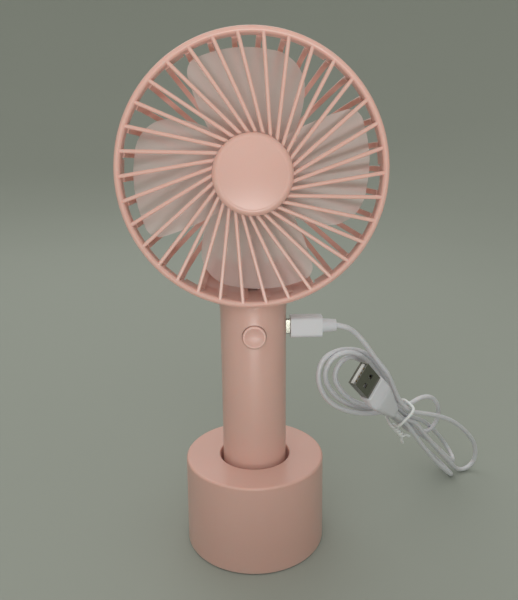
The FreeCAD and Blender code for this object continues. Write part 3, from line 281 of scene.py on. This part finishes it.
# The turns lean: each millimetre of lift sets a turn layer_slip millimetres up the bundle.
# Every point is along, across and lift, and pulls the cord towards itself.
from_the_small_plug = [
    (5.7, 2.7, 1.7), (10.6, 3.9, 0.6), (20.2, 3.7, 0.8), (32.7, 1.8, 1.6), (46.2, 1.1, 2.4),
    (58.1, -2.4, 2.6), (68.0, -5.4, 2.6), (80.0, -5.4, 2.6),
]
wide_fold = [
    (90.2, 0.0, 2.6), (102.0, 5.0, 2.6), (113.9, 7.9, 2.6), (127.9, 8.6, 2.7), (139.8, 7.4, 3.2),
    (148.1, 3.3, 4.0), (152.0, -1.4, 4.6), (151.1, -7.4, 5.0), (145.9, -10.8, 5.0), (138.1, -10.7, 4.8),
    (126.3, -10.5, 4.4), (114.2, -9.7, 3.8), (101.0, -8.7, 3.0), (88.1, -7.4, 1.6), (80.0, -11.0, 2.6),
]
outer_turn = [
    (68.0, -11.0, 2.6), (59.4, -20.2, 2.6), (46.5, -26.7, 2.4), (31.8, -29.8, 1.6), (16.7, -25.9, 0.4),
    (7.4, -16.4, -1.6), (11.8, -5.9, -2.8), (25.1, 1.5, -2.6), (43.0, -0.9, -2.6), (62.0, -5.4, -2.6),
]
short_fold = [
    (74.5, -5.4, -2.7), (77.1, 4.2, -3.2), (84.0, 9.1, -3.6), (94.0, 7.9, -4.2), (101.8, 1.9, -4.3),
    (103.5, -5.9, -4.1), (94.5, -13.0, -6.2), (83.0, -13.8, -2.7),
]
middle_turn = [
    (68.0, -13.8, -2.6), (55.9, -20.0, -2.4), (43.5, -24.3, -1.8), (29.9, -25.6, -1.0), (16.8, -22.0, -0.2),
    (11.7, -12.1, 0.5), (19.0, -2.6, 0.1), (33.2, -1.8, 0.0), (50.0, -4.4, 0.0), (67.0, -8.2, 0.0),
]
narrow_fold = [
    (80.0, -8.2, 0.0), (92.2, -4.2, -1.4), (97.4, -3.7, -6.7), (107.5, -3.7, -8.3), (115.7, -4.1, -9.7),
    (122.7, -4.8, -9.5), (131.7, -6.4, -5.5), (137.0, -7.9, -1.0), (137.4, -9.2, 2.3), (131.5, -9.6, 2.5),
    (119.0, -9.4, 0.8), (106.0, -9.6, 0.0), (94.1, -11.1, 0.1), (80.0, -11.0, 0.0),
]
inner_turn = [
    (67.0, -11.0, 0.0), (53.8, -18.1, -0.6), (43.3, -21.5, -1.0), (32.3, -21.8, -1.6), (21.1, -19.0, -2.2),
    (16.8, -10.9, -2.6), (20.5, -4.2, -2.6), (33.1, -3.3, -2.6), (47.8, -6.2, -3.0), (67.0, -8.2, -2.6),
]
last_fold = [
    (80.0, -8.2, -2.6), (93.1, -11.9, -2.5), (104.3, -14.2, -3.1), (112.6, -15.0, -4.4), (120.6, -15.0, -4.9),
    (127.4, -15.0, -4.4), (136.3, -15.0, -0.3), (142.8, -15.0, 5.1), (143.9, -15.2, 9.2), (138.2, -15.6, 9.7),
    (126.3, -15.6, 8.4), (112.3, -14.7, 6.8), (97.8, -13.0, 5.6),
]
into_the_large_plug = [
    (78.4, -11.2, 4.4), (72.9, -11.4, 5.4), (67.9, -11.6, 7.6), (63.0, -11.7, 10.2), (58.6, -11.4, 10.2),
]
cord_points = [cord_exit]
for stretch in (from_the_small_plug, wide_fold, outer_turn, short_fold, middle_turn, narrow_fold, inner_turn,
                last_fold):
    cord_points += [on_bundle(*point, slip=layer_slip) for point in stretch]
cord_points += [on_bundle(*point) for point in into_the_large_plug]


def round_cord(name, diameter, places):
    # One open smooth line of even thickness that the places pull into shape.
    curve = bpy.data.curves.new(name, "CURVE")
    curve.dimensions = "3D"
    curve.bevel_depth = diameter / 2
    curve.bevel_resolution = 3
    curve.resolution_u = 8
    curve.use_fill_caps = True
    spline = curve.splines.new("NURBS")
    spline.points.add(len(places) - 1)
    for point, place in zip(spline.points, places):
        point.co = (*place, 1.0)
    spline.order_u = 3
    spline.use_endpoint_u = True
    cord = bpy.data.objects.new(name, curve)
    bpy.context.collection.objects.link(cord)
    return cord


charging_cord = round_cord("charging_cord", cord_diameter, cord_points)

# Soft extruded PVC, smooth and slightly glossy, and moulded PVC of the same batch on the plugs.
white_pvc = moulded_plastic("white_pvc", "#dbdbdf", "#d4d4d9", 0.36, 0.6, 0.02, 0.08)
charging_cord.data.materials.append(white_pvc)
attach(charging_cord, "usb_cable")
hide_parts("cord_lead", "cord_tail", "cord_hank")
dress(white_pvc, "usb_plug_overmould")

# ---- Full-size plug's grip -------------------------------------------------------------------
# Soft white PVC moulded over the back of the steel shell and the end of the cord: a rounded
# block with a lip round the shell, that narrows to the cord behind.
grip_mouth = Vector((21.7, -8.9, 10.1))
grip_rear = Vector((58.6, -11.4, 10.2))
grip_roll = math.radians(-22.0)
shell_length = 12.9
grip_width = 14.4
grip_height = 7.4
grip_block_length = 6.6
grip_block_middle = 3.7
grip_corner = 2.6
grip_back = (grip_rear - grip_mouth).normalized()
grip_up = (Vector((0, 0, 1)) - grip_back * grip_back.z).normalized()
grip_side = grip_up.cross(grip_back)
grip_turn = Matrix((grip_side, grip_up, grip_back)).transposed() @ Matrix.Rotation(grip_roll, 3, "Z")
# How far behind the lip each ring of the taper lies, and its share of the full width and height.
grip_taper = [
    (7.0, 1.0, 1.0), (9.5, 0.965, 0.975), (12.0, 0.89, 0.93), (14.5, 0.79, 0.86), (17.0, 0.68, 0.78),
    (19.5, 0.57, 0.70), (22.0, 0.47, 0.63), (23.6, 0.42, 0.58), (24.1, 0.34, 0.48),
]
lip_ring = [(0.0, 0.972, 0.95), (-0.35, 0.93, 0.87)]
grip_mesh = bmesh.new()
bmesh.ops.create_cube(grip_mesh, size=1.0)
bmesh.ops.scale(grip_mesh, vec=(grip_width, grip_height, grip_block_length), verts=grip_mesh.verts[:])
bmesh.ops.translate(grip_mesh, vec=(0, 0, grip_block_middle), verts=grip_mesh.verts[:])
long_edges = [e for e in grip_mesh.edges if abs(e.verts[0].co.z - e.verts[1].co.z) > 1]
bmesh.ops.bevel(
    grip_mesh, geom=long_edges, offset=grip_corner, segments=6, profile=0.5, affect="EDGES", material=-1
)


def drawn_out(mesh, face, stations, width, height):
    # Pushes an end face out along the grip, to a new share of its full size at each station.
    half_width, half_height = width / 2, height / 2
    for depth, wide, tall in stations:
        face = bmesh.ops.extrude_discrete_faces(mesh, faces=[face])["faces"][0]
        spread_x = max(abs(v.co.x) for v in face.verts)
        spread_y = max(abs(v.co.y) for v in face.verts)
        ratio = (half_width * wide / spread_x, half_height * tall / spread_y, 1.0)
        bmesh.ops.scale(mesh, vec=ratio, verts=face.verts[:])
        bmesh.ops.translate(mesh, vec=(0, 0, depth - face.verts[0].co.z), verts=face.verts[:])


drawn_out(grip_mesh, max(grip_mesh.faces, key=lambda f: f.calc_center_median().z), grip_taper, grip_width,
          grip_height)
drawn_out(grip_mesh, min(grip_mesh.faces, key=lambda f: f.calc_center_median().z), lip_ring, grip_width,
          grip_height)
for face in grip_mesh.faces:
    face.smooth = len(face.verts) == 4
bmesh.ops.recalc_face_normals(grip_mesh, faces=grip_mesh.faces[:])
for vert in grip_mesh.verts:
    vert.co = on_bundle(*(grip_mouth + grip_back * shell_length + grip_turn @ vert.co))
plug_grip_mesh = bpy.data.meshes.new("plug_grip")
grip_mesh.to_mesh(plug_grip_mesh)
grip_mesh.free()
plug_grip_mesh.materials.append(white_pvc)
plug_grip = bpy.data.objects.new("plug_grip", plug_grip_mesh)
bpy.context.collection.objects.link(plug_grip)
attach(plug_grip, "usb_cable")
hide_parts("usb_a_overmould")
white_nylon = moulded_plastic("white_nylon", "#f0f0ee", "#e8e8e6", 0.4, 0.5, 0.01)
dress(white_nylon, "usb_a_tongue")

# ---- Twist tie ---------------------------------------------------------------------------------
# One soft iron wire in a thick white plastic coat. It goes once round the waist of the bundle,
# and its two ends are twisted together beside it.
tie_diameter = 1.6 * mm
tie_knot = Vector((71.5, -16.9, 3.6))
tie_runs = Vector((0.985, -0.05, 0.10)).normalized()
tie_loop = [
    (72.4, -15.9, 6.6), (71.6, -13.6, 8.2), (71.2, -9.6, 8.5), (71.8, -5.2, 8.1), (72.8, -2.6, 6.0),
    (73.2, -2.5, 1.0), (73.2, -2.9, -3.4), (73.2, -5.6, -4.9), (73.0, -9.6, -4.9), (73.0, -13.8, -4.9),
    (73.0, -16.3, -3.6), (72.8, -17.0, 0.0),
]
tie_steps = 6
tie_turns = 2.5
tie_pitch = 4.4
tie_first_step = 1.2
tie_wind_radius = 0.95
tie_end_splay = 1.3
tie_end_reach = 1.6
tie_tip_splay = 1.2
tie_side = tie_runs.cross(Vector((0, 0, 1))).normalized()
tie_lift = tie_side.cross(tie_runs)


def twisted_end(phase):
    # One wire's way out from the knot, wound about the other with their coats touching.
    places = []
    for step in range(int(tie_steps * tie_turns) + 1):
        angle = phase + 2 * math.pi * step / tie_steps
        aside = tie_side * math.cos(angle) + tie_lift * math.sin(angle)
        places.append(tie_knot + tie_runs * (tie_first_step + tie_pitch * step / tie_steps)
                      + aside * tie_wind_radius)
    tip = places[-1]
    spread = (tip - tie_knot - tie_runs * (tip - tie_knot).dot(tie_runs)) * tie_end_splay
    near_end = tip + tie_runs * tie_end_reach + spread
    return places + [near_end, tip + tie_runs * 2 * tie_end_reach + spread * tie_tip_splay]


tie_places = list(reversed(twisted_end(math.pi))) + [Vector(point) for point in tie_loop] + twisted_end(0.0)
twist_tie = round_cord("tie_wire", tie_diameter, [on_bundle(*place) for place in tie_places])

# Polythene coat, bluish white and a little waxy.
white_polythene = moulded_plastic("white_polythene", "#ebecec", "#e4e5e5", 0.45, 0.5, 0.02, 0.1)
twist_tie.data.materials.append(white_polythene)
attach(twist_tie, "usb_cable")
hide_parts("twist_tie")

# ---- Floor and light --------------------------------------------------------------------------
# A plain grey round sheet whose edge curves up all round. One broad soft lamp hangs in front
# of the fan and one behind it, a small one lies on the floor before it and faces up, and the
# room is warm white.
sheet_edge = [
    (0.8, 0), (1.05, 0.01), (1.3, 0.05), (1.55, 0.13), (1.8, 0.26), (2.03, 0.45), (2.22, 0.70), (2.36, 1.00),
    (2.44, 1.35), (2.47, 1.70),
]
sheet = bmesh.new()
bmesh.ops.create_circle(sheet, cap_ends=True, segments=128, radius=sheet_edge[0][0])
edge = sheet.edges[:]
for (reach, height), (next_reach, next_height) in zip(sheet_edge, sheet_edge[1:]):
    drawn = bmesh.ops.extrude_edge_only(sheet, edges=edge)["geom"]
    rim = [v for v in drawn if isinstance(v, bmesh.types.BMVert)]
    edge = [e for e in drawn if isinstance(e, bmesh.types.BMEdge) and set(e.verts) <= set(rim)]
    wider = next_reach / reach
    bmesh.ops.scale(sheet, verts=rim, vec=(wider, wider, 1))
    bmesh.ops.translate(sheet, verts=rim, vec=(0, 0, next_height - height))
bmesh.ops.recalc_face_normals(sheet, faces=sheet.faces[:])
for face in sheet.faces:
    face.smooth = len(face.verts) == 4
backdrop_mesh = bpy.data.meshes.new("backdrop")
sheet.to_mesh(backdrop_mesh)
sheet.free()
backdrop = bpy.data.objects.new("backdrop", backdrop_mesh)
bpy.context.collection.objects.link(backdrop)
grey_card = new_material("grey_card")
card = add_node(
    grey_card,
    "ShaderNodeBsdfPrincipled",
    {"Base Color": linear("#a3a8a0"), "Roughness": 0.95, "Specular IOR Level": 0.2},
)
finish_material(grey_card, card)
backdrop_mesh.materials.append(grey_card)

room = bpy.data.worlds.new("room")
bpy.context.scene.world = room
room.use_nodes = True
room_light = room.node_tree.nodes["Background"]
room_light.inputs["Color"].default_value = linear("#ecebe5")
room_light.inputs["Strength"].default_value = 0.84


def soft_lamp(name, place, aim, size, power):
    # A square lamp turned to its aim, that lights the part but isn't seen itself.
    lamp_data = bpy.data.lights.new(name, "AREA")
    lamp_data.size = size
    lamp_data.energy = power
    lamp = bpy.data.objects.new(name, lamp_data)
    lamp.location = place
    lamp.rotation_euler = (Vector(aim) - Vector(place)).to_track_quat("-Z", "Y").to_euler()
    lamp.visible_camera = False
    bpy.context.collection.objects.link(lamp)


soft_lamp("front", (-0.14, -1.00, 0.66), (0, 0, 0.13), 1.0, 3.2)
soft_lamp("low_front", (0.0, -0.47, 0.010), (0, -0.47, 1), 0.20, 2.2)
soft_lamp("behind", (-0.20, 0.75, 0.95), (0, 0, 0.15), 1.0, 2.4)
